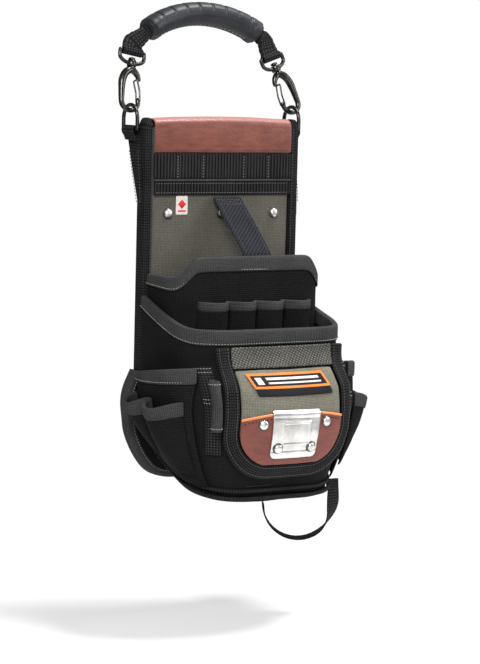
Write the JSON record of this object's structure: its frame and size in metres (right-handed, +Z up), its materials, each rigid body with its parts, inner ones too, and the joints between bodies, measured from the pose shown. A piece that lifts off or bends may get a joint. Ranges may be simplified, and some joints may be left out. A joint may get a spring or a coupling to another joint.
{
  "type": "electrician tool pouch",
  "caption": "Hanging tool pouch on a tall back panel, with side and inner pockets, a bound front shield, a belt loop, and a carry handle on two snap hooks.",
  "frame": {"origin": "centre of the hip pad's rear face, which rests against the wearer or a wall", "axes": "+Z up, -Y out of the pouch's front, X across the panel"},
  "size_m": [0.247, 0.2057, 0.5161],
  "materials": {
    "black_nylon": "matt woven",
    "black_webbing": "matt webbing",
    "grey_nylon": "matt woven",
    "grey_binding": "matt tape",
    "brown_leather": "satin",
    "grip_rubber": "satin",
    "gunmetal": "gloss",
    "bright_steel": "polished",
    "woven_label": "satin",
    "white_tag": "matt"
  },
  "bodies": {
    "pouch": {"back_panel": "grey_nylon", "rear_panel": "black_nylon", "hip_pad": "black_nylon", "edge_binding_left": "black_nylon", "edge_binding_right": "black_nylon", "lower_binding": "grey_binding", "top_cap": "brown_leather", "daisy_webbing": "black_webbing", "trim_webbing": "black_webbing", "side_tag": "white_tag", "panel_rivet_left": "bright_steel", "panel_rivet_middle": "bright_steel", "panel_rivet_right": "bright_steel", "belt_loop": "black_webbing", "centre_strap": "black_webbing", "body_wall": "black_nylon", "body_rim": "grey_binding", "base_panel": "black_nylon", "base_piping": "black_nylon", "divider": "black_nylon", "divider_rim": "grey_binding", "inner_sleeves": "black_nylon", "shield_panel": "grey_nylon", "leather_patch": "brown_leather", "shield_binding": "black_nylon", "front_webbing": "grey_nylon", "front_label": "woven_label", "clip_plate": "bright_steel", "plate_rivet_left": "bright_steel", "plate_rivet_right": "bright_steel", "patch_rivet_left": "bright_steel", "patch_rivet_right": "bright_steel", "pen_sleeve": "grey_binding", "tape_strap": "black_webbing", "strap_ring": "bright_steel", "side_pocket_left": "black_nylon", "side_pocket_rim_left": "grey_binding", "tube_pocket_left_rear": "black_nylon", "tube_pocket_left_front": "black_nylon", "corner_pocket_left": "black_webbing", "ring_strap_left": "black_webbing", "side_pocket_right": "black_nylon", "side_pocket_rim_right": "grey_binding", "tube_pocket_right_rear": "black_nylon", "tube_pocket_right_front": "black_nylon", "corner_pocket_right": "black_webbing", "ring_strap_right": "black_webbing"},
    "d_ring_left": {"d_ring_left": "gunmetal"},
    "d_ring_right": {"d_ring_right": "gunmetal"},
    "handle": {"handle_strap": "black_webbing", "hand_grip": "grip_rubber", "swivel_eye_left": "gunmetal", "swivel_eye_right": "gunmetal"},
    "snap_left": {"snap_body_left": "gunmetal"},
    "snap_right": {"snap_body_right": "gunmetal"},
    "gate_left": {"snap_gate_left": "bright_steel"},
    "gate_right": {"snap_gate_right": "bright_steel"}
  },
  "joints": [
    {"name": "handle_swing", "type": "hinge", "parent": "pouch", "child": "handle", "pos_m": [0, 0.002, 0.1991], "axis": [1, 0, 0], "range_deg": [-70, 76]},
    {"name": "d_ring_left_tilt", "type": "hinge", "parent": "pouch", "child": "d_ring_left", "pos_m": [-0.092, 0.002, 0.1815], "axis": [0, 1, 0], "range_deg": [-2, 2]},
    {"name": "snap_left_swivel", "type": "hinge", "parent": "handle", "child": "snap_left", "pos_m": [-0.092, 0.00448, 0.20775], "axis": [0.1908, 0.2706, 0.9436], "range_deg": [-17, 17]},
    {"name": "gate_left_open", "type": "hinge", "parent": "snap_left", "child": "gate_left", "pos_m": [-0.08288, 0.00441, 0.20752], "axis": [0, -0.9613, 0.2756], "range_deg": [0, 24], "stiffness_Nm_per_rad": 0.02, "springref_deg": -8.59},
    {"name": "d_ring_right_tilt", "type": "hinge", "parent": "pouch", "child": "d_ring_right", "pos_m": [0.092, 0.002, 0.1815], "axis": [0, 1, 0], "range_deg": [-2, 2]},
    {"name": "snap_right_swivel", "type": "hinge", "parent": "handle", "child": "snap_right", "pos_m": [0.092, 0.00448, 0.20775], "axis": [-0.3256, 0.2606, 0.9089], "range_deg": [-17, 17]},
    {"name": "gate_right_open", "type": "hinge", "parent": "snap_right", "child": "gate_right", "pos_m": [0.083, 0.00406, 0.2063], "axis": [0, 0.9613, -0.2756], "range_deg": [0, 24], "stiffness_Nm_per_rad": 0.02, "springref_deg": -8.59}
  ]
}
